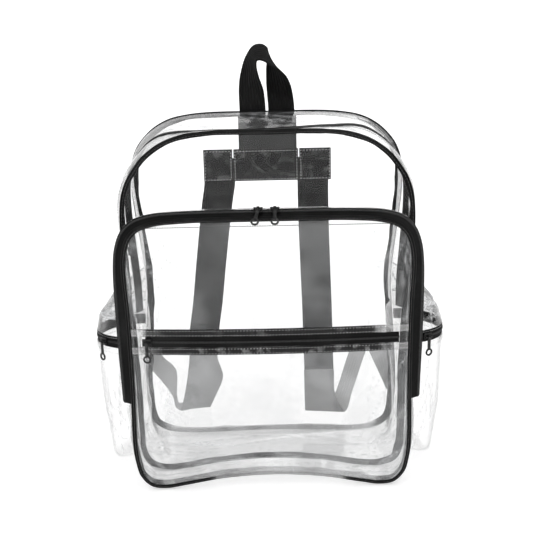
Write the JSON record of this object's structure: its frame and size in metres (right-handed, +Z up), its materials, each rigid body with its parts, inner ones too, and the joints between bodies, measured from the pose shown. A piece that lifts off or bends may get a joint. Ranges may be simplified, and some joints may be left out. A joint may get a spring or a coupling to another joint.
{
  "type": "clear stadium backpack",
  "caption": "Clear vinyl backpack with dark trim, a zipped front pocket with a second zip across it, zipped side pockets, shoulder straps and a twisted grab handle.",
  "frame": {"origin": "middle of the bag's footprint, on the surface that it stands on", "axes": "+Z up to the grab handle, +Y to the back panel and the wearer's back, +X to the right as seen from the front pocket"},
  "size_m": [0.4012, 0.176, 0.4732],
  "materials": {
    "clear_vinyl": "clear glossy flexible sheet",
    "zip_tape": "black woven zip tape and coil",
    "binding": "black folded binding tape",
    "zip_facing": "clear sheet stitched over black tape",
    "strap_fabric": "dark woven strap fabric",
    "handle_webbing": "black ribbed webbing",
    "zip_metal": "black painted die-cast metal"
  },
  "bodies": {
    "bag": {"back_panel": "clear_vinyl", "main_front_panel": "clear_vinyl", "main_gusset_rear": "clear_vinyl", "main_gusset_front": "clear_vinyl", "main_gusset_bottom": "clear_vinyl", "main_zip": "zip_tape", "back_binding": "binding", "front_binding": "binding", "pocket_upper_panel": "clear_vinyl", "pocket_lower_panel": "clear_vinyl", "pocket_backing_panel": "clear_vinyl", "pocket_gusset_upper": "clear_vinyl", "pocket_gusset_lower": "clear_vinyl", "pocket_binding": "binding", "pocket_zip": "zip_tape", "lower_zip_facing_upper": "zip_facing", "lower_zip_facing_lower": "zip_facing", "lower_pocket_zip": "zip_tape", "lower_zip_end_left": "clear_vinyl", "lower_zip_end_right": "clear_vinyl", "side_pocket_left_body": "clear_vinyl", "side_pocket_left_dome": "clear_vinyl", "side_zip_left": "zip_tape", "side_pocket_right_body": "clear_vinyl", "side_pocket_right_dome": "clear_vinyl", "side_zip_right": "zip_tape", "grab_handle": "handle_webbing", "handle_patch": "strap_fabric", "yoke_patch": "zip_facing", "shoulder_strap_left": "strap_fabric", "shoulder_strap_right": "strap_fabric", "strap_end_left": "strap_fabric", "strap_end_right": "strap_fabric", "strap_webbing_left": "strap_fabric", "strap_webbing_right": "strap_fabric", "pocket_zip_left_slider": "zip_metal", "pocket_zip_right_slider": "zip_metal", "lower_zip_slider": "zip_metal", "side_zip_left_slider": "zip_metal", "side_zip_right_slider": "zip_metal", "main_zip_slider_left": "zip_metal", "main_zip_slider_right": "zip_metal"},
    "pocket_pull_left": {"pocket_zip_left_pull": "zip_metal"},
    "pocket_pull_right": {"pocket_zip_right_pull": "zip_metal"},
    "lower_pull": {"lower_zip_pull": "zip_metal"},
    "side_pull_left": {"side_zip_left_pull": "zip_metal"},
    "side_pull_right": {"side_zip_right_pull": "zip_metal"}
  },
  "joints": [
    {"name": "pocket_pull_left_swing", "type": "hinge", "parent": "bag", "child": "pocket_pull_left", "pos_m": [-0.00978, -0.06993, 0.3205], "axis": [-1, -0.0041, -0.0009], "range_deg": [0, 110]},
    {"name": "pocket_pull_right_swing", "type": "hinge", "parent": "bag", "child": "pocket_pull_right", "pos_m": [0.00788, -0.06993, 0.3205], "axis": [-1, 0.0035, 0.0008], "range_deg": [0, 110]},
    {"name": "lower_pull_swing", "type": "hinge", "parent": "bag", "child": "lower_pull", "pos_m": [-0.13245, -0.08551, 0.17706], "axis": [-0.9965, 0.0841, 0], "range_deg": [0, 110]},
    {"name": "side_pull_left_swing", "type": "hinge", "parent": "bag", "child": "side_pull_left", "pos_m": [-0.19037, -0.01977, 0.15602], "axis": [-0.7165, 0.6976, 0], "range_deg": [0, 110]},
    {"name": "side_pull_right_swing", "type": "hinge", "parent": "bag", "child": "side_pull_right", "pos_m": [0.17923, -0.02788, 0.15637], "axis": [-0.8837, -0.4681, 0], "range_deg": [0, 110]}
  ]
}
